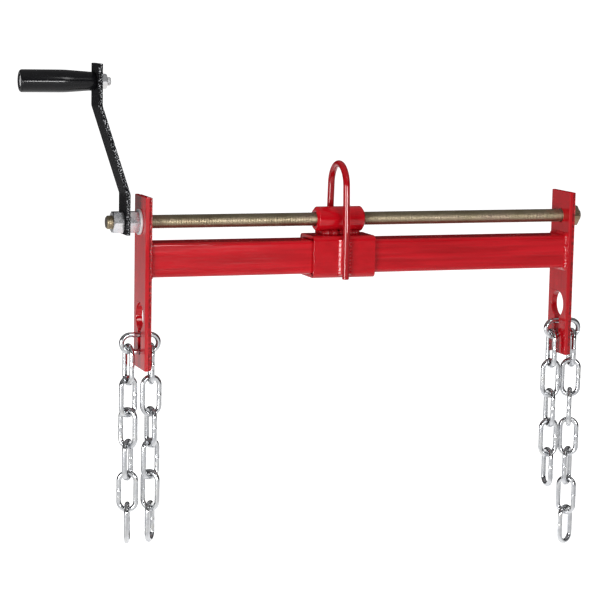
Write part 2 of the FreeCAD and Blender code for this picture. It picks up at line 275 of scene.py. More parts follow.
def round_bar(name, radius, start_x, end_x, z, sides=64):
    """A plain round bar along X."""
    let_go()
    bpy.ops.mesh.primitive_cylinder_add(
        vertices=sides,
        radius=radius,
        depth=end_x - start_x,
        location=((start_x + end_x) / 2, 0, z),
        rotation=(0, math.pi / 2, 0),
    )
    return placed(name)


def cut(piece, tool, operation="DIFFERENCE"):
    """Takes a tool's shape out of a piece, or keeps only what lies inside it, and clears the tool away."""
    finish_with(piece, "BOOLEAN", operation=operation, object=tool, solver="EXACT")
    bpy.data.objects.remove(tool)


def copy_of(piece, name, move=(0, 0, 0)):
    """A copy with a mesh of its own, moved by some distance."""
    hold(piece)
    bpy.ops.object.duplicate(linked=False)
    copy = bpy.context.object
    copy.name = name
    bpy.ops.transform.translate(value=move)
    bpy.ops.object.transform_apply()
    return copy


def tear_edge(plate, along, across, half, cuts):
    """Divides the two narrow faces that run along one axis, and lets their far side slope in, torn."""

    def outside(place, reach):
        return abs(place[across] - plate_middle[across]) > reach

    def long_edge(place, way):
        halfway = abs(place[along] - plate_middle[along]) < 0.001
        return halfway and abs(way[along]) > 0.9 and outside(place, half - plate_hair)

    def torn_point(torn_x):
        return lambda place, way: place.x > torn_x and outside(place, half + plate_hair)

    pick(plate, "EDGE", long_edge)
    bpy.ops.mesh.subdivide(number_cuts=cuts)
    sunk = [1, 1, 1]
    sunk[across] = 1 - plate_torn_depth / len(plate_torn_lines) / half
    for torn_x in plate_torn_lines:
        pick(plate, "VERT", torn_point(torn_x))
        bpy.ops.transform.resize(value=sunk, center_override=plate_middle)
    pick(plate, "VERT", torn_point(plate_torn_lines[0]))
    bpy.ops.transform.vertex_random(offset=plate_torn_ragged, seed=7, wait_for_input=False)


plate = block("crank_end_plate_look", plate_low, plate_high)
pick(plate, "EDGE", lambda middle, way: True)
bpy.ops.mesh.bevel(offset=plate_edge_round, segments=2, affect="EDGES")
plate_torn_x = plate_high.x - (plate_high.x - plate_low.x) * plate_torn_share
plate_torn_middle_x = (plate_torn_x + plate_high.x) / 2
plate_torn_lines = (plate_torn_x + plate_hair, plate_torn_middle_x + plate_hair)
for line_x in (plate_torn_x, plate_torn_middle_x):
    open_up(plate)
    bpy.ops.mesh.bisect(plane_co=(line_x, 0, 0), plane_no=(1, 0, 0))
plate_middle = (plate_low + plate_high) / 2
plate_half_width = plate_high.y - plate_edge_round
plate_half_height = plate_high.z - plate_middle.z - plate_edge_round
tear_edge(plate, 2, 1, plate_half_width, 150)
tear_edge(plate, 1, 2, plate_half_height, 36)
tool_start_x = plate_low.x - punch_overrun
tool_end_x = plate_high.x + punch_overrun
cut(plate, round_bar("screw_hole_punch", screw_hole_radius, tool_start_x, tool_end_x, screw_z))
cut(plate, round_bar("keyhole_punch", keyhole_radius, tool_start_x, tool_end_x, keyhole_z, 96))
slot_round_z = slot_end_z + slot_half_width
slot_low = (tool_start_x, -slot_half_width, slot_round_z)
slot_high = (tool_end_x, slot_half_width, keyhole_z)
cut(plate, block("slot_punch", slot_low, slot_high))
cut(plate, round_bar("slot_end_punch", slot_half_width, tool_start_x, tool_end_x, slot_round_z, 48))


def plate_rim(middle, way):
    """True for an edge of a hole, on either face of the plate."""
    on_face = min(abs(middle.x - plate_low.x), abs(middle.x - plate_high.x)) < 0.00001
    inside_y = abs(middle.y) < plate_half_width - plate_rim_margin
    inside_z = abs(middle.z - plate_middle.z) < plate_half_height - plate_rim_margin
    return on_face and inside_y and inside_z


pick(plate, "EDGE", plate_rim)
bpy.ops.mesh.bevel(offset=plate_rim_round, segments=3, affect="EDGES")
close_up(plate)
plate_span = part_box("far_end_plate")[0] - plate_low
far_plate = copy_of(plate, "far_end_plate_look", plate_span)
plate_enamel = red_enamel("red_enamel_plates", (1, 1, 0.12), 0.0002, 0.000014)


def torn_enamel():
    """Enamel over torn steel, thin on the crests and dark between them, partly painted shade and partly
    pooled paint.
    """
    paint, shader = new_finish("red_enamel_torn")
    tear = grain(paint, 420, (0.4, 1, 1), detail=3)
    # The dark colour between the crests is painted shade together with paint pooled there.
    dark, middling, pale = (0.20, 0.001, 0.004), (0.36, 0.002, 0.006), (0.52, 0.006, 0.012)
    red = tinted(paint, tear, (0.38, dark), (0.52, middling), (0.64, pale))
    rough = relief(paint, tear, 0.00032)
    gloss = between(paint, grain(paint, 200), 0.08, 0.2)
    feed(shader, Base_Color=red, Roughness=gloss, Normal=rough, IOR=1.45)
    return paint


def torn_face(middle, way):
    """True for a face on the torn side of a narrow edge, on either plate."""
    across = abs(middle.y) > plate_half_width - plate_torn_margin
    endways = abs(middle.z - plate_middle.z) > plate_half_height - plate_torn_margin
    torn_from_x = plate_torn_x + (plate_span.x if middle.x > plate_high.x else 0)
    return middle.x > torn_from_x and (across or endways) and way.x < 0.8


plate_torn_enamel = torn_enamel()
for end_plate, node in ((plate, "crank_end_plate"), (far_plate, "far_end_plate")):
    dress(end_plate, node, plate_enamel, 14)
    # The torn side of each narrow edge takes the darker enamel, partly painted shade.
    bare(end_plate, plate_torn_enamel, torn_face)

# Beam welds
# A fillet of weld metal all round each end of the beam, run by hand against the end plate. Each drop
# overlaps the last, and the paint lies thick over the bead.
weld_drop_radii = {1: 0.0044, -1: 0.0058}
weld_drop_sunk = 0.0015
weld_drop_pitch = 0.0043
weld_skin = 0.0005
weld_core_overrun = Vector((0.02, 0, 0))


def bead(name, drops, skin, sides=20):
    """Overlapping drops of weld metal, each a place and a radius, run together into one skin."""
    round_drop = {"segments": sides, "ring_count": sides * 3 // 5}
    let_go()
    place, radius = drops[0]
    bpy.ops.mesh.primitive_uv_sphere_add(radius=radius, location=place, **round_drop)
    run = placed(name)
    open_up(run)
    for place, radius in drops[1:]:
        bpy.ops.mesh.primitive_uv_sphere_add(radius=radius, location=place, **round_drop)
    let_go()
    finish_with(run, "REMESH", mode="VOXEL", voxel_size=skin)
    finish_with(run, "SMOOTH", factor=0.5, iterations=2)
    return run


def trim(piece, place, way):
    """Cuts off all that lies beyond a plane and closes the cut."""
    open_up(piece)
    bpy.ops.mesh.bisect(
        plane_co=place,
        plane_no=way,
        use_fill=True,
        clear_outer=True,
        threshold=0.000001,
    )
    let_go()


def joined(pieces, name):
    """Makes several pieces one."""
    let_go()
    for piece in pieces:
        piece.select_set(True)
    bpy.context.view_layer.objects.active = pieces[0]
    bpy.ops.object.join()
    pieces[0].name = name
    return pieces[0]


def unsteady(number):
    """A share a little above or below one, never the same twice running, as a hand leaves it."""
    return 1 + 0.055 * math.sin(number * 2.4) + 0.03 * math.sin(number * 5.1 + 1)


weld_low, weld_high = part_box("beam_welds")
weld_half = beam_high.y - weld_drop_sunk
weld_z = (beam_low.z + beam_high.z) / 2
weld_ends = []
for end_x, inwards in ((weld_low.x, 1), (weld_high.x, -1)):
    steps = round(2 * weld_half / weld_drop_pitch)
    drops = []
    for side in range(4):
        turn = Quaternion((1, 0, 0), side * math.pi / 2)
        for step in range(steps):
            along = -weld_half + 2 * weld_half * step / steps
            place = turn @ Vector((0, -weld_half, along))
            radius = weld_drop_radii[inwards] * unsteady(side * steps + step)
            drops.append((place + Vector((end_x - inwards * weld_drop_sunk, 0, weld_z)), radius))
    weld_end = bead("beam_weld_end", drops, weld_skin)
    trim(weld_end, (end_x, 0, 0), (-inwards, 0, 0))
    core_low = beam_low - weld_core_overrun
    core_high = beam_high + weld_core_overrun
    cut(weld_end, square_bar("beam_core", core_low, core_high, beam_corner_radius))
    weld_ends.append(weld_end)
beam_welds = joined(weld_ends, "beam_welds_look")
weld_enamel = red_enamel("red_enamel_welds", (1, 1, 1), 0.0001, 0.00003)
dress(beam_welds, "beam_welds", weld_enamel, 60, even_flats=False)

# Carriage collar
# A short length of square tube, one size up, that slides along the beam and carries everything that the
# hoist lifts by. It is sawn, its edges are knocked off, and it is painted outside with the rest.
collar_low, collar_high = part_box("carriage_collar")
collar_corner_radius = 0.006
collar_wall = 0.0045
collar_edge_round = 0.0006
collar = square_tube("carriage_collar_look", collar_low, collar_high, collar_corner_radius, collar_wall)
collar_end_x = collar_high.x - 0.00001
pick(collar, "EDGE", lambda middle, way: abs(middle.x) > collar_end_x and abs(way.x) < 0.1)
bpy.ops.mesh.bevel(offset=collar_edge_round, segments=3, affect="EDGES")
close_up(collar)
carriage_enamel = red_enamel("red_enamel_carriage", (0.35, 1, 1), 0.00012, 0.000014)
dress(collar, "carriage_collar", carriage_enamel)

# Carriage nut
# The long round nut that the lead screw drives, turned from bar with a chamfer at each end and tapped
# right through. It is welded along the top of the collar.
nut_bar_low, nut_bar_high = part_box("carriage_nut")
nut_bar_radius = (nut_bar_high.z - nut_bar_low.z) / 2
nut_bar_bore = 0.0083
nut_bar_bore_edge = 0.0008
nut_bar_chamfer = 0.0025
nut_bar_soft = 0.0004


def drawn_line(name, points):
    """A line drawn from point to point."""
    let_go()
    bpy.ops.mesh.primitive_plane_add(size=0.001, location=points[0])
    drawn = placed(name)
    open_up(drawn)
    bpy.ops.mesh.merge(type="CENTER")
    for here, there in zip(points, points[1:]):
        bpy.ops.mesh.extrude_vertices_move(TRANSFORM_OT_translate={"value": Vector(there) - Vector(here)})
    return drawn


def turned(name, profile, z, steps=64, closed=True):
    """A profile of places along X and radii, turned about a line along X."""
    points = [(x, 0, z + radius) for x, radius in profile]
    if closed:
        points.append(points[0])
    piece = drawn_line(name, points)
    open_up(piece)
    bpy.ops.mesh.spin(steps=steps, angle=2 * math.pi, center=(0, 0, z), axis=(1, 0, 0))
    close_up(piece)
    return piece


nut_bar_half = [
    (nut_bar_bore_edge, nut_bar_bore),
    (0, nut_bar_bore + nut_bar_bore_edge),
    (0, nut_bar_radius - nut_bar_chamfer - nut_bar_soft),
    (nut_bar_soft, nut_bar_radius - nut_bar_chamfer),
    (nut_bar_chamfer - nut_bar_soft, nut_bar_radius - nut_bar_soft),
    (nut_bar_chamfer + nut_bar_soft, nut_bar_radius),
]
nut_bar_profile = [(nut_bar_low.x + inset, radius) for inset, radius in nut_bar_half]
nut_bar_profile += [(nut_bar_high.x - inset, radius) for inset, radius in reversed(nut_bar_half)]
carriage_nut = turned("carriage_nut_look", nut_bar_profile, screw_z)
dress(carriage_nut, "carriage_nut", carriage_enamel, 50)

# Saddle weld
# Two rough beads that fill the gap between the round nut and the flat top of the collar, one along each
# side. They are lumpier than the rest, with small spatter under the paint, and their red is darkened as
# painted shade.
saddle_low, saddle_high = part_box("nut_saddle_weld")
saddle_drop_radius = 0.004
saddle_drop_pitch = 0.0037
saddle_drop_y = 0.0098
saddle_drop_z = saddle_low.z + 0.0022
saddle_lumpiness = 2.2
saddle_skin = 0.0004
saddle_core_inset = 0.001
saddle_core_sunk = 0.002
saddle_core_height = 0.005
saddle_seat_reach = 0.05
saddle_drops = []
saddle_end_x = saddle_high.x - saddle_drop_radius
for side in (-1, 1):
    for step in range(round(2 * saddle_end_x / saddle_drop_pitch) + 1):
        wander = unsteady(step * 1.7 + side)
        place = (step * saddle_drop_pitch - saddle_end_x, side * saddle_drop_y * wander, saddle_drop_z)
        swelling = 1 + saddle_lumpiness * (unsteady(step + 3 * side) - 1)
        saddle_drops.append((place, saddle_drop_radius * swelling))
saddle_sides = bead("saddle_sides", saddle_drops, saddle_skin)
saddle_core_low = (saddle_low.x + saddle_core_inset, -saddle_drop_y, saddle_low.z - saddle_core_sunk)
saddle_core_high = (saddle_high.x - saddle_core_inset, saddle_drop_y, saddle_low.z + saddle_core_height)
cut(saddle_sides, block("saddle_core", saddle_core_low, saddle_core_high), "UNION")
trim(saddle_sides, (0, 0, saddle_low.z), (0, 0, -1))
cut(saddle_sides, round_bar("nut_seat", nut_bar_radius, -saddle_seat_reach, saddle_seat_reach, screw_z, 96))
close_up(saddle_sides)
# Dimmed to 0.6 of the full red: painted shade on the beads between the nut and the collar.
saddle_enamel = red_enamel("red_enamel_saddle", (1, 1, 1), 0.00025, 0.0001, painted_shade_share=0.6)
dress(saddle_sides, "nut_saddle_weld", saddle_enamel, 60, even_flats=False)

# Lifting loop
# Round steel rod bent into a tall hoop over the screw, for the hoist's hook. Its two legs stand flat
# against the collar's front and back, and the hoop draws in slightly towards the top. Its red is darkened
# as painted shade.
loop_low, loop_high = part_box("lifting_loop")
loop_rod_radius = (loop_high.x - loop_low.x) / 2
loop_leg_y = loop_high.y - loop_rod_radius
loop_arch_radius = 0.0261
loop_arch_z = loop_high.z - loop_rod_radius - loop_arch_radius
loop_bend_z = -0.076
loop_bend_radius = 0.06
loop_end_round = 0.0006


def drawn_bar(bar, moves, closed=False):
    """Draws an open section along runs, round bends and through swellings, and closes its ends."""
    open_up(bar)
    for kind, *move in moves:
        if kind == "run":
            bpy.ops.mesh.extrude_region_move(TRANSFORM_OT_translate={"value": move[0]})
        if kind == "bend":
            centre, axis, angle, steps = move
            bpy.ops.mesh.spin(steps=steps, angle=-angle, center=centre, axis=axis)
        if kind == "swell":
            share, centre = move
            bpy.ops.transform.resize(value=(share, share, share), center_override=centre)
    if not closed:
        bpy.ops.mesh.select_all(action="SELECT")
        bpy.ops.mesh.fill_holes(sides=0)
    close_up(bar, 0.00001)
    return bar


def wire_ring(name, radius, place, sides=32):
    """The open round section of a rod that stands upright."""
    let_go()
    bpy.ops.mesh.primitive_circle_add(vertices=sides, radius=radius, location=place)
    return placed(name)


loop_rise = loop_arch_z - loop_bend_z
loop_reach = math.hypot(loop_leg_y, loop_rise)
loop_lean = math.acos(loop_arch_radius / loop_reach) - math.atan2(loop_rise, loop_leg_y)
loop_bend_run = loop_bend_radius * math.tan(loop_lean / 2)
loop_foot_z = loop_low.z
loop_straight = Vector((0, 0, loop_bend_z - loop_bend_run - loop_foot_z))
loop_bend_y = loop_leg_y - loop_bend_radius
loop_bent = Vector((0, loop_bend_y + loop_bend_radius * math.cos(loop_lean), 0))
loop_bent.z = loop_bend_z - loop_bend_run + loop_bend_radius * math.sin(loop_lean)
loop_shoulder = Vector((0, loop_arch_radius * math.cos(loop_lean), 0))
loop_shoulder.z = loop_arch_z + loop_arch_radius * math.sin(loop_lean)
loop_slope = loop_shoulder - loop_bent
loop_slope_down = Vector((0, loop_slope.y, -loop_slope.z))
along_x = (1, 0, 0)
loop = wire_ring("lifting_loop_look", loop_rod_radius, (0, loop_leg_y, loop_foot_z), 40)
drawn_bar(
    loop,
    [
        ("run", loop_straight),
        ("bend", (0, loop_bend_y, loop_bend_z - loop_bend_run), along_x, loop_lean, 4),
        ("run", loop_slope),
        ("bend", (0, 0, loop_arch_z), along_x, math.pi - 2 * loop_lean, 56),
        ("run", loop_slope_down),
        ("bend", (0, -loop_bend_y, loop_bend_z - loop_bend_run), along_x, loop_lean, 4),
        ("run", -loop_straight),
    ],
)
pick(loop, "EDGE", lambda middle, way: middle.z < loop_foot_z + 0.00001 and abs(way.z) < 0.1)
bpy.ops.mesh.bevel(offset=loop_end_round, segments=3, affect="EDGES")
close_up(loop)
# Dimmed to 0.74 of the full red: painted shade on the hoop, which faces away from the lamps.
loop_enamel = red_enamel("red_enamel_loop", (1, 1, 0.3), 0.00008, 0.000012, painted_shade_share=0.74)
dress(loop, "lifting_loop", loop_enamel)

# Loop welds
# Four upright fillets, one on each side of each leg of the loop, that hold it to the collar. On the
# crank side they are run in a few long strokes, on the far side in many short scallops.
loop_weld_low, loop_weld_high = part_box("loop_welds")
loop_weld_margin = 0.0034
loop_weld_skin = 0.0004
loop_weld_leg_length = 0.06
# For each side of a leg: a drop's radius, how far it lies aside and proud, the pitch and the wander.
loop_weld_strokes = {
    -1: (0.016, -0.0033, -0.0105, 0.0029, 0.06),
    1: (0.0037, 0.0047, 0.0004, 0.0043, 1.0),
}
loop_weld_runs = []
collar_face_y = collar_high.y
for side_y in (-1, 1):
    for side_x, (radius, aside, proud, pitch, wander) in loop_weld_strokes.items():
        start_z = loop_weld_low.z + loop_weld_margin
        length = loop_weld_high.z - loop_weld_margin - start_z
        steps = round(length / pitch)
        drops = []
        for step in range(steps + 1):
            swelling = 1 + wander * (unsteady(step * 1.3 + 2 * side_x + side_y) - 1)
            place = Vector((side_x * aside, side_y * (collar_face_y + proud), start_z))
            place.z += length * step / steps
            drops.append((place, radius * swelling))
        sides = 40 if radius > loop_rod_radius else 20
        weld = bead("loop_weld", drops, loop_weld_skin, sides)
        for end_z, downwards in ((loop_weld_low.z, -1), (loop_weld_high.z, 1)):
            trim(weld, (0, side_y * collar_face_y, end_z), (0, side_y * 0.5, downwards))
        trim(weld, (0, side_y * collar_face_y, 0), (0, -side_y, 0))
        trim(weld, (0, 0, 0), (-side_x, 0, 0))
        let_go()
        bpy.ops.mesh.primitive_cylinder_add(
            vertices=64,
            radius=loop_rod_radius,
            depth=loop_weld_leg_length,
            location=(0, side_y * loop_leg_y, (loop_weld_low.z + loop_weld_high.z) / 2),
        )
        cut(weld, placed("leg_round"))
        loop_weld_runs.append(weld)
loop_welds = joined(loop_weld_runs, "loop_welds_look")
loop_weld_enamel = red_enamel("red_enamel_loop_welds", (1, 1, 0.3), 0.00003, 0.000008)
dress(loop_welds, "loop_welds", loop_weld_enamel, 60, even_flats=False)

# Lead screw
# A threaded steel rod as long as the whole leveler, turned by the crank, which drives the carriage nut
# along the beam. The thread is rolled, its ends are chamfered, and it is zinc plated and passivated
# yellow, in uneven gold, olive and rosy tints.
screw_low, screw_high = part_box("lead_screw")
screw_radius = 0.008
screw_pitch = 0.002
screw_end_chamfer = 0.0015


def threaded_rod(name, start_x, end_x, z, radius, pitch, chamfer, steps=20):
    """A rod with a rolled thread along all of it, cut square and chamfered at both ends."""
    root_radius = radius - 0.17 * pitch
    first_x = start_x - pitch
    turn = [(0, root_radius), (0.15 * pitch, root_radius), (0.4 * pitch, radius), (0.75 * pitch, radius)]
    turn.append((pitch, root_radius))
    rod = drawn_line(name, [(first_x + x, 0, height) for x, height in turn])
    turns = math.ceil((end_x - start_x) / pitch) + 2
    finish_with(
        rod,
        "SCREW",
        axis="X",
        angle=2 * math.pi,
        screw_offset=pitch,
        iterations=turns,
        steps=steps,
        render_steps=steps,
        use_merge_vertices=True,
        merge_threshold=0.00001,
    )
    open_up(rod)
    bpy.ops.transform.translate(value=(0, 0, z))
    close_up(rod, 0.00001)
    trim(rod, (start_x, 0, 0), (-1, 0, 0))
    trim(rod, (end_x, 0, 0), (1, 0, 0))
    close_up(rod)
    for point in rod.data.vertices:
        room = radius - chamfer + min(point.co.x - start_x, end_x - point.co.x)
        out = math.hypot(point.co.y, point.co.z - z)
        if out > room:
            point.co.y *= room / out
            point.co.z = z + (point.co.z - z) * room / out
    return rod


screw = threaded_rod(
    "lead_screw_look",
    screw_low.x,
    screw_high.x,
    screw_z,
    screw_radius,
    screw_pitch,
    screw_end_chamfer,
)


def yellow_zinc(name, dark, olive, gold, rosy, smooth, rough):
    """Yellow passivated zinc, its tint wandering along the piece."""
    plating, shader = new_finish(name)
    tint = grain(plating, 70, (0.5, 1, 1), detail=3)
    yellow = tinted(plating, tint, (0.28, dark), (0.44, olive), (0.56, gold), (0.72, rosy))
    skin = relief(plating, grain(plating, 1500), 0.000006)
    gloss = between(plating, grain(plating, 260), smooth, rough)
    feed(shader, Base_Color=yellow, Metallic=1.0, Roughness=gloss, Normal=skin)
    return plating


screw_tints = ((0.26, 0.20, 0.13), (0.31, 0.26, 0.17), (0.35, 0.29, 0.20), (0.34, 0.26, 0.20))
screw_zinc = yellow_zinc("yellow_zinc_screw", *screw_tints, 0.38, 0.5)
dress(screw, "lead_screw", screw_zinc, 30, even_flats=False)


def sawn_steel():
    """The cut end of the rod, stained brown under a thin flash of plating."""
    steel, shader = new_finish("sawn_steel")
    dark, pale = (0.04, 0.027, 0.018), (0.16, 0.12, 0.085)
    stain = tinted(steel, grain(steel, 260, detail=3), (0.35, dark), (0.65, pale))
    marks = relief(steel, grain(steel, 700, (1, 1, 0.15)), 0.00003)
    feed(shader, Base_Color=stain, Metallic=0.7, Roughness=0.4, Normal=marks)
    return steel


bare(screw, sawn_steel(), lambda middle, way: abs(way.x) > 0.95)

# Washer and nuts
# A thick washer runs against the crank end plate. Two hexagon nuts clamp the crank arm between them on
# the screw and a third, yellow like the screw, stops it at the far end. They are forged, chamfered to
# thirty degrees on both faces, tapped and zinc plated.
washer_low, washer_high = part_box("crank_washer")
washer_radius = (washer_high.z - washer_low.z) / 2
washer_bore = 0.00825
washer_edge = 0.0006
nut_flats = nut_high.z - nut_low.z
nut_bore = 0.0081
nut_edge_round = 0.00025


def flat_washer(name, low, high, radius, bore, edge, z):
    """A punched ring, soft at its edges."""
    profile = [(low, bore + edge), (low, radius - edge), (low + edge, radius), (high - edge, radius)]
    profile += [(high, radius - edge), (high, bore + edge), (high - edge, bore), (low + edge, bore)]
    return turned(name, profile, z, 72)


def hexagon_nut(name, low_x, high_x, z, flats, bore, edge):
    """A nut with a corner to the front, both faces chamfered to the width across flats."""
    corner = flats / 2 / math.cos(math.pi / 6)
    nut = round_bar(name, corner, low_x, high_x, z, 6)
    face_radius = flats / 2 * 0.95
    tool_radius = corner + 0.001
    run = (tool_radius - face_radius) * math.tan(math.pi / 6)
    chamfered = [(low_x, bore), (low_x, face_radius), (low_x + run, tool_radius)]
    chamfered += [(high_x - run, tool_radius), (high_x, face_radius), (high_x, bore)]
    cut(nut, turned("chamfer_tool", chamfered, z, 95), "INTERSECT")
    finish_with(nut, "BEVEL", width=edge, segments=2, limit_method="ANGLE", angle_limit=math.radians(25))
    close_up(nut)
    return nut


def bright_zinc(name, low, high, rough, smooth):
    """Clear passivated zinc, bluish with a trace of yellow."""
    plating, shader = new_finish(name)
    tint = grain(plating, 90, detail=3)
    yellowish = (high[0], high[1] * 0.98, high[2] * 0.93)
    silver = tinted(plating, tint, (0.3, low), (0.5, high), (0.7, yellowish))
    skin = relief(plating, grain(plating, 900), 0.000004)
    gloss = between(plating, grain(plating, 150), smooth, rough)
    feed(shader, Base_Color=silver, Metallic=1.0, Roughness=gloss, Normal=skin)
    return plating


def dull_zinc():
    """Zinc that has gone chalky, as it does where a hand wears it."""
    plating, shader = new_finish("dull_zinc")
    dark, pale = (0.62, 0.62, 0.63), (0.78, 0.78, 0.78)
    silver = tinted(plating, grain(plating, 200, detail=3), (0.3, dark), (0.7, pale))
    skin = relief(plating, grain(plating, 900), 0.000008)
    gloss = between(plating, grain(plating, 300), 0.35, 0.5)
    feed(shader, Base_Color=silver, Metallic=0.35, Roughness=gloss, Normal=skin)
    return plating


chalky_zinc = dull_zinc()
far_nut_tints = ((0.20, 0.13, 0.08), (0.30, 0.21, 0.13), (0.36, 0.26, 0.17), (0.34, 0.22, 0.17))
far_nut_zinc = yellow_zinc("yellow_zinc_nut", *far_nut_tints, 0.2, 0.32)
nut_zinc = bright_zinc("bright_zinc_nuts", (0.62, 0.63, 0.66), (0.74, 0.74, 0.76), 0.34, 0.2)
washer_sizes = (washer_radius, washer_bore, washer_edge)
washer = flat_washer("washer", washer_low.x, washer_high.x, *washer_sizes, screw_z)
dress(washer, "crank_washer", chalky_zinc)
large_nut = hexagon_nut("large_nut", nut_low.x, nut_high.x, screw_z, nut_flats, nut_bore, nut_edge_round)
nut_finishes = {"crank_inner_nut": nut_zinc, "crank_outer_nut": nut_zinc, "far_end_nut": far_nut_zinc}
for nut_node, finish in nut_finishes.items():
    nut_move = Vector((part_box(nut_node)[0].x - nut_low.x, 0, 0))
    dress(copy_of(large_nut, nut_node, nut_move), nut_node, finish)
bpy.data.objects.remove(large_nut)

# Crank arm
# Flat steel bar clamped on the screw, cranked outwards twice so that the hand clears the plate, and
# drilled at both ends. It is finished in black hammer paint, which dries in small shining dimples. Pale
# specks along the narrow sides are painted highlights, standing for glints of light off the paint.
arm_low, arm_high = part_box("crank_arm")
grip_bolt_low, grip_bolt_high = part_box("grip_bolt")
grip_z = (grip_bolt_low.z + grip_bolt_high.z) / 2
arm_thickness = 0.005
arm_first_bend = 0.033
arm_second_bend = 0.0275
arm_bend_radius = 0.009
arm_edge_round = 0.0007
arm_screw_hole = 0.00825
arm_bolt_hole = 0.0051
arm_drill_reach = 0.01
arm_foot_x = arm_high.x - arm_thickness / 2
arm_head_x = arm_low.x + arm_thickness / 2
arm_bend_low_z = screw_z + arm_first_bend
arm_bend_high_z = grip_z - arm_second_bend
arm_lean = math.atan2(arm_foot_x - arm_head_x, arm_bend_high_z - arm_bend_low_z)
arm_bend_run = arm_bend_radius * math.tan(arm_lean / 2)
arm_slope = Vector((arm_head_x - arm_foot_x, 0, arm_bend_high_z - arm_bend_low_z))
arm_slope *= 1 - 2 * arm_bend_run / arm_slope.length
along_y = (0, 1, 0)
let_go()
arm_foot = (arm_foot_x, 0, arm_low.z)
bpy.ops.mesh.primitive_plane_add(size=1, location=arm_foot)
arm = placed("crank_arm_look")
open_up(arm)
bpy.ops.transform.resize(value=(arm_thickness, arm_high.y - arm_low.y, 1), center_override=arm_foot)
bpy.ops.mesh.delete(type="ONLY_FACE")
drawn_bar(
    arm,
    [
        ("run", Vector((0, 0, arm_bend_low_z - arm_bend_run - arm_low.z))),
        ("bend", (arm_foot_x - arm_bend_radius, 0, arm_bend_low_z - arm_bend_run), along_y, -arm_lean, 6),
        ("run", arm_slope),
        ("bend", (arm_head_x + arm_bend_radius, 0, arm_bend_high_z + arm_bend_run), along_y, arm_lean, 6),
        ("run", Vector((0, 0, arm_high.z - arm_bend_high_z - arm_bend_run))),
    ],
)
arm_sharp = math.radians(50)
finish_with(arm, "BEVEL", width=arm_edge_round, segments=3, limit_method="ANGLE", angle_limit=arm_sharp)
screw_drill_span = (arm_foot_x - arm_drill_reach, arm_foot_x + arm_drill_reach)
cut(arm, round_bar("arm_screw_drill", arm_screw_hole, *screw_drill_span, screw_z))
bolt_drill_span = (arm_head_x - arm_drill_reach, arm_head_x + arm_drill_reach)
cut(arm, round_bar("arm_bolt_drill", arm_bolt_hole, *bolt_drill_span, grip_z, 48))
close_up(arm)


def black_hammer_paint(name, fineness, clearness, *stops):
    """Black paint that dries in shallow dimples, with bright specks where a stop is pale; such specks are
    painted highlights.
    """
    paint, shader = new_finish(name)
    place = add_node(paint, "TexCoord").outputs["Object"]
    cells = add_node(paint, "TexVoronoi", Vector=place, Scale=fineness, Randomness=0.9).outputs["Distance"]
    dimples = relief(paint, cells, 0.0003)
    skin = relief(paint, grain(paint, 1400), 0.00002, dimples)
    black = tinted(paint, cells, *stops)
    gloss = between(paint, grain(paint, 300), 0.12, 0.22)
    feed(shader, Base_Color=black, Roughness=gloss, Normal=skin, IOR=clearness)
    return paint


arm_black = (0.006, 0.006, 0.007)
# The pale speck colour is painted highlight: glints of light off the dimpled paint, laid on the narrow
# sides.
arm_painted_glint = (0.55, 0.56, 0.58)
arm_grey = (0.012, 0.012, 0.013)
arm_paint = black_hammer_paint("black_hammer_paint", 430, 1.025, (0.3, arm_black), (0.7, arm_grey))
arm_painted_glint_paint = black_hammer_paint("hammer_paint_painted_glints", 760, 1.1, (0.63, arm_black), (0.77, arm_painted_glint))
dress(arm, "crank_arm", arm_paint)
# The narrow sides take the painted highlight specks.
bare(arm, arm_painted_glint_paint, lambda middle, way: abs(way.y) > 0.3)

# Grip bolt and nut
# A round-headed bolt runs through the hand grip and the top of the arm, its head sunk in the end of the
# grip and its nut behind the arm. The bolt is plain under the grip and threaded past the arm.
grip_nut_low, grip_nut_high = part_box("grip_nut")
grip_nut_flats = grip_nut_high.z - grip_nut_low.z
bolt_head_radius = (grip_bolt_high.z - grip_bolt_low.z) / 2
bolt_head_height = 0.0048
bolt_shank_radius = 0.0055
bolt_thread_radius = 0.005
bolt_thread_pitch = 0.0015
bolt_thread_chamfer = 0.0009
bolt_thread_lap = 0.001
bolt_thread_room = 0.0001
bolt_head_edge = 0.0004
bolt_neck_slope = 0.0005
bolt_neck_x = arm_low.x
bolt_head_x = grip_bolt_low.x + bolt_head_height
bolt_end_x = bolt_neck_x + arm_thickness
bolt = turned(
    "grip_bolt_look",
    [
        (grip_bolt_low.x, 0),
        (grip_bolt_low.x, bolt_head_radius * 0.3),
        (grip_bolt_low.x + 0.0003, bolt_head_radius * 0.78),
        (grip_bolt_low.x + 0.0007, bolt_head_radius * 0.94),
        (grip_bolt_low.x + 0.0014, bolt_head_radius),
        (bolt_head_x - bolt_head_edge, bolt_head_radius),
        (bolt_head_x, bolt_head_radius - bolt_head_edge),
        (bolt_head_x, bolt_shank_radius),
        (bolt_neck_x - bolt_neck_slope, bolt_shank_radius),
        (bolt_neck_x, bolt_thread_radius),
        (bolt_end_x, bolt_thread_radius),
        (bolt_end_x, 0),
    ],
    grip_z,
    closed=False,
)
bolt_thread = threaded_rod(
    "grip_bolt_thread",
    bolt_end_x - bolt_thread_lap,
    grip_bolt_high.x,
    grip_z,
    bolt_thread_radius,
    bolt_thread_pitch,
    bolt_thread_chamfer,
    28,
)
bolt = joined([bolt, bolt_thread], "grip_bolt_look")
dress(bolt, "grip_bolt", chalky_zinc, 30, even_flats=False)
grip_nut = hexagon_nut(
    "grip_nut",
    grip_nut_low.x,
    grip_nut_high.x,
    grip_z,
    grip_nut_flats,
    bolt_thread_radius + bolt_thread_room,
    nut_edge_round,
)
dress(grip_nut, "grip_nut", nut_zinc)

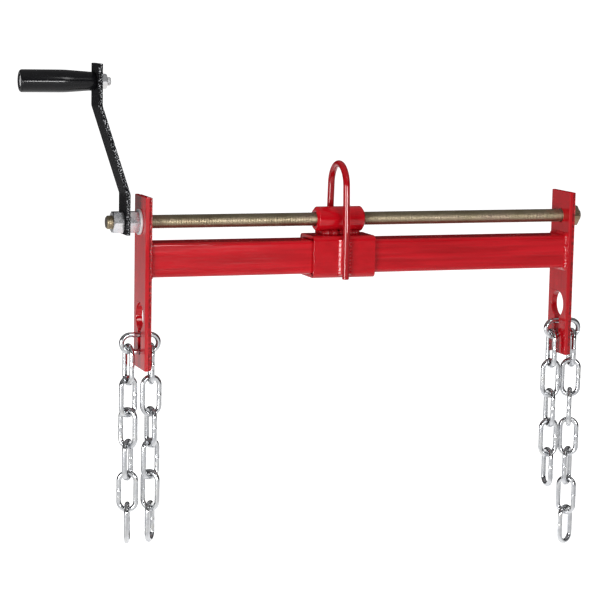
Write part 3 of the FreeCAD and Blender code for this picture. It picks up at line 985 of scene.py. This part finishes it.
# Hand grip
# A black moulded plastic sleeve that turns freely on the bolt: a straight barrel for the fingers, then a
# long taper to a narrow neck at the arm. The end has a round rim and a recess for the bolt's head.
grip_low, grip_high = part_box("hand_grip")
grip_radius = (grip_high.z - grip_low.z) / 2
grip_barrel = 0.05
grip_neck_radius = 0.0105
grip_end_round = 0.003
grip_recess_radius = 0.0081
grip_recess = 0.006
grip_bore = 0.0057
grip_neck_round = 0.0008
grip_recess_edge = 0.0006
# Shares of the taper's length, each with a share of its drop.
grip_taper = {-0.12: 0.0, 0.0: 0.015, 0.12: 0.09, 0.3: 0.27, 0.6: 0.59, 0.85: 0.86, 1: 1}
grip_profile = [(grip_low.x, grip_recess_radius + grip_recess_edge)]
for step in range(9):
    angle = (1 - step / 8) * math.pi / 2
    rim_x = grip_low.x + grip_end_round * (1 - math.sin(angle))
    grip_profile.append((rim_x, grip_radius - grip_end_round * (1 - math.cos(angle))))
taper_start = grip_low.x + grip_barrel
taper_drop = grip_radius - grip_neck_radius
for share, sunk in grip_taper.items():
    taper_x = taper_start + (grip_high.x - grip_neck_round - taper_start) * share
    grip_profile.append((taper_x, grip_radius - taper_drop * sunk))
grip_profile += [
    (grip_high.x - grip_neck_round * 0.3, grip_neck_radius - grip_neck_round * 0.3),
    (grip_high.x, grip_neck_radius - grip_neck_round),
    (grip_high.x, grip_bore),
    (grip_low.x + grip_recess, grip_bore),
    (grip_low.x + grip_recess, grip_recess_radius),
    (grip_low.x + grip_recess_edge, grip_recess_radius),
]
grip = turned("hand_grip_look", grip_profile, grip_z, 96)


def black_plastic():
    """Moulded black plastic with a fine sandy skin."""
    plastic, shader = new_finish("black_plastic")
    dark, pale = (0.005, 0.005, 0.006), (0.008, 0.008, 0.009)
    black = tinted(plastic, grain(plastic, 50, detail=3), (0.3, dark), (0.7, pale))
    flow = relief(plastic, grain(plastic, 90, (0.2, 1, 1)), 0.00002)
    skin = relief(plastic, grain(plastic, 2200), 0.000012, flow)
    gloss = between(plastic, grain(plastic, 120), 0.1, 0.15)
    feed(shader, Base_Color=black, Roughness=gloss, Normal=skin, IOR=1.32)
    return plastic


dress(grip, "hand_grip", black_plastic(), 40, even_flats=False)

# Chains
# Steel wire links, bent and butt welded on one leg, where a slight burr and the marks of the clamps
# stay, then zinc plated. One link lies through each keyhole slot, and a strand hangs from both its ends.
link_low, link_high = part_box("crank_through_link")
link_wire_radius = (link_high.y - link_low.y) / 2
link_half = (link_high.x - link_low.x) / 2 - link_wire_radius
link_crown_radius = (link_high.z - link_low.z) / 2 - link_wire_radius
link_leg_half = link_half - link_crown_radius
link_burr_half = 0.0009
link_burr = 1.03
link_burr_crest = 1.015
link_wire_share = 0.958
link_clamp_from = 0.0032
link_clamp_to = 0.0062
link_clamp = 0.985
link_clamp_edge = 0.0006
strand_turns = {
    "crank_outer_link": (-9, 67, 138, 36, 110, 20),
    "crank_inner_link": (9, 90, -11, 67, 138, 33),
    "far_inner_link": (2, 94, 0, 92, 0),
    "far_outer_link": (9, 112, 27, 117, 45, 135, 64),
}


def chain_link(name):
    """One link standing upright across Y, its weld in the middle of the leg at +Y."""
    ring = wire_ring(name, link_wire_radius * link_wire_share, (0, link_crown_radius, -link_leg_half), 28)
    clamped_from = link_clamp_from + link_clamp_edge
    clamped_to = link_clamp_to - link_clamp_edge
    stops = [(-link_clamp_to, 1), (-clamped_to, link_clamp), (-clamped_from, 1)]
    stops += [(-link_clamp_from, 1 / link_clamp), (-link_burr_half, 1)]
    stops += [(-link_burr_half / 2, link_burr), (0, link_burr_crest)]
    stops += [(link_burr_half / 2, 1 / link_burr_crest), (link_burr_half, 1 / link_burr)]
    stops += [(link_clamp_from, 1), (clamped_from, link_clamp), (clamped_to, 1)]
    stops += [(link_clamp_to, 1 / link_clamp), (link_leg_half, 1)]
    moves = []
    here = -link_leg_half
    for stop, share in stops:
        moves.append(("run", Vector((0, 0, stop - here))))
        moves.append(("swell", share, (0, link_crown_radius, stop)))
        here = stop
    moves.append(("bend", (0, 0, link_leg_half), along_x, math.pi, 24))
    moves += [("run", Vector((0, 0, -link_leg_half)))] * 2
    moves.append(("bend", (0, 0, -link_leg_half), along_x, math.pi, 24))
    return drawn_bar(ring, moves, closed=True)


def chain_zinc():
    """Bright zinc over drawn wire: clean and bluish, with duller patches and faint draw lines."""
    plating, shader = new_finish("bright_zinc_chain")
    tint = grain(plating, 110, detail=4)
    silver = tinted(
        plating,
        tint,
        (0.25, (0.46, 0.47, 0.50)),
        (0.42, (0.55, 0.56, 0.58)),
        (0.6, (0.61, 0.62, 0.63)),
        (0.75, (0.58, 0.57, 0.55)),
    )
    lines = relief(plating, grain(plating, 500, (1, 1, 0.15)), 0.000012)
    skin = relief(plating, grain(plating, 900), 0.000004, lines)
    gloss = between(plating, grain(plating, 220), 0.14, 0.21)
    feed(shader, Base_Color=silver, Metallic=1.0, Roughness=gloss, Normal=skin)
    return plating


link_zinc = chain_zinc()
upright_link = chain_link("upright_link")


def hang_link(node, turn):
    """Copies the upright link to where one link hangs, turned in place."""
    low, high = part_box(node)
    link = copy_of(upright_link, node)
    link.rotation_mode = "QUATERNION"
    link.rotation_quaternion = turn
    link.location = (low + high) / 2
    hold(link)
    bpy.ops.object.transform_apply()
    dress(link, node, link_zinc, 60, even_flats=False)


for through_node in ("crank_through_link", "far_through_link"):
    hang_link(through_node, Quaternion((1, 1, 1), 2 * math.pi / 3))
for strand, turns in strand_turns.items():
    for number, turn in enumerate(turns, 1):
        half_turn = 180 * (number % 2)
        hang_link(f"{strand}_{number}", Quaternion((0, 0, 1), math.radians(half_turn - turn)))
bpy.data.objects.remove(upright_link)

# Studio
# A pale round floor that turns up at its rim far behind, white where the photograph's camera looks. Three
# soft lights and a long card stand in front and show in the gloss. Those at the right, above and behind
# don't, and the room is dim. The camera stands where the photograph was taken.
floor_z = -0.62
floor_radius = 30.0
floor_rim = ((1.2, 0.12), (0.8, 0.36), (0.3, 0.72))
let_go()
bpy.ops.mesh.primitive_circle_add(vertices=128, radius=floor_radius, location=(0, 0, floor_z))
floor = placed("studio_floor")
open_up(floor)
rim_radius = floor_radius
for out, up in floor_rim:
    bpy.ops.mesh.extrude_region_move(TRANSFORM_OT_translate={"value": (0, 0, up)})
    share = (rim_radius + out) / rim_radius
    bpy.ops.transform.resize(value=(share, share, 1), center_override=(0, 0, 0))
    rim_radius += out
pick(floor, "EDGE", lambda middle, way: middle.z < floor_z + 0.001)
bpy.ops.mesh.edge_face_add()
bpy.ops.mesh.select_all(action="SELECT")
bpy.ops.mesh.normals_make_consistent(inside=True)
hold(floor)
bpy.ops.object.shade_smooth_by_angle(angle=math.radians(40))
paper, paper_shader = new_finish("pale_paper")


def sum_of(kind, *values):
    """One sum on the floor's paper."""
    sum_node = add_node(paper, "Math")
    sum_node.operation = kind
    for socket, value in zip(sum_node.inputs, values):
        if isinstance(value, bpy.types.NodeSocket):
            paper.node_tree.links.new(value, socket)
        else:
            socket.default_value = value
    return sum_node.outputs[0]


rays = add_node(paper, "LightPath").outputs
seen = sum_of("MAXIMUM", rays["Is Camera Ray"], rays["Is Glossy Ray"])
seen = sum_of("MAXIMUM", seen, rays["Is Transmission Ray"])
paper_place = add_node(paper, "TexCoord").outputs["Object"]
paper_turn = (0, 0, math.radians(19.27))
paper_turned = add_node(paper, "Mapping", Vector=paper_place, Rotation=paper_turn).outputs["Vector"]
paper_axes = add_node(paper, "SeparateXYZ", Vector=paper_turned).outputs
paper_depth = sum_of("MAXIMUM", sum_of("ADD", paper_axes["Y"], 2.6), 0.01)
paper_aside = sum_of("DIVIDE", sum_of("ABSOLUTE", paper_axes["X"]), paper_depth)
paper_behind = add_node(paper, "MapRange", Value=paper_aside, From_Min=0.165, From_Max=0.27)
feed(paper_behind, To_Min=1.0, To_Max=0.0)
paper_behind.interpolation_type = "SMOOTHSTEP"
paper_ahead = add_node(paper, "MapRange", Value=paper_axes["Y"], From_Min=-1.2, From_Max=0.25)
paper_ahead.interpolation_type = "SMOOTHSTEP"
paper_far = add_node(paper, "MapRange", Value=paper_axes["Y"], From_Min=0.5, From_Max=4.0)
feed(paper_far, To_Min=0.78, To_Max=1.0)
paper_white = sum_of("MULTIPLY", paper_behind.outputs["Result"], paper_ahead.outputs["Result"])
paper_white = sum_of("MULTIPLY", paper_white, paper_far.outputs["Result"])
paper_reach = add_node(paper, "VectorMath", Vector=paper_place)
paper_reach.operation = "LENGTH"
paper_round = add_node(paper, "MapRange", Value=paper_reach.outputs["Value"], From_Min=2.5, From_Max=6.0)
feed(paper_round, To_Min=0.24, To_Max=0.12)
paper_glow = sum_of("MAXIMUM", paper_white, paper_round.outputs["Result"])
feed(paper_shader, Base_Color=(0.7, 0.7, 0.7, 1), Roughness=1.0, Specular_IOR_Level=0.0)
paper_glow = sum_of("MULTIPLY", paper_glow, seen)
paper_glow = sum_of("MAXIMUM", paper_glow, sum_of("MULTIPLY", rays["Is Camera Ray"], 0.6))
feed(paper_shader, Emission_Color=(1, 1, 1, 1), Emission_Strength=paper_glow)
floor.data.materials.append(paper)

aim = Vector((0, 0, -0.12))


def soft_light(name, azimuth, elevation, distance, width, height, power):
    """A square soft light that faces the object; azimuth is to the right of the front."""
    let_go()
    across, up = math.radians(azimuth), math.radians(elevation)
    way = Vector((math.sin(across) * math.cos(up), -math.cos(across) * math.cos(up), math.sin(up)))
    turn = (-way).to_track_quat("-Z", "Y").to_euler()
    bpy.ops.object.light_add(type="AREA", location=aim + way * distance, rotation=turn)
    lamp = bpy.context.object
    lamp.name = name
    lamp.data.shape = "RECTANGLE"
    lamp.data.size = width
    lamp.data.size_y = height
    lamp.data.energy = power
    return lamp


soft_light("front_left_light", -54, -1, 2.5, 0.85, 0.7, 36)
soft_light("front_light", 3.9, 2.3, 2.96, 0.6, 0.22, 19)
soft_light("high_light", 13, 34, 3.2, 0.28, 1.0, 9)
right_light = soft_light("right_light", 112, 24, 3.0, 1.4, 1.2, 18)
front_card = soft_light("front_card", -10, -1.3, 3.6, 3.8, 0.6, 7.2)
front_card.visible_camera = False
top_light = soft_light("top_light", 10, 78, 2.8, 2.0, 1.6, 20)
back_light = soft_light("back_light", 195, 42, 3.2, 2.2, 1.4, 34)
for light in (right_light, top_light, back_light):
    light.visible_glossy = False

room = bpy.data.worlds.new("room")
bpy.context.scene.world = room
room.use_nodes = True
room_way = add_node(room, "TexCoord").outputs["Generated"]
room_axes = add_node(room, "SeparateXYZ", Vector=room_way)
room_dark, room_bright = (0.012, 0.012, 0.012), (0.28, 0.28, 0.28)
room_grey = tinted(room, room_axes.outputs["Z"], (0.24, room_dark), (0.8, room_bright))
feed(room.node_tree.nodes["Background"], Color=room_grey, Strength=1.0)

camera_place = Vector((-0.8885, -2.3663, 0.18695))
camera_aim = Vector((-0.06105, 0.0, -0.16042))
camera_roll = math.radians(1.06)
photo_width = 600
focal_pixels = 2125.19
middle_column, middle_row = 288.34, 302.07
let_go()
bpy.ops.object.camera_add(location=camera_place)
camera = bpy.context.object
camera.name = "photo_camera"
camera.rotation_mode = "QUATERNION"
level = (camera_aim - camera_place).to_track_quat("-Z", "Y")
camera.rotation_quaternion = level @ Quaternion((0, 0, 1), camera_roll)
camera.data.sensor_width = 36
camera.data.lens = focal_pixels / photo_width * camera.data.sensor_width
camera.data.shift_x = (photo_width / 2 - middle_column) / photo_width
camera.data.shift_y = (middle_row - photo_width / 2) / photo_width
camera.data.clip_end = 100
bpy.context.scene.camera = camera
bpy.context.scene.view_settings.view_transform = "Standard"
let_go()
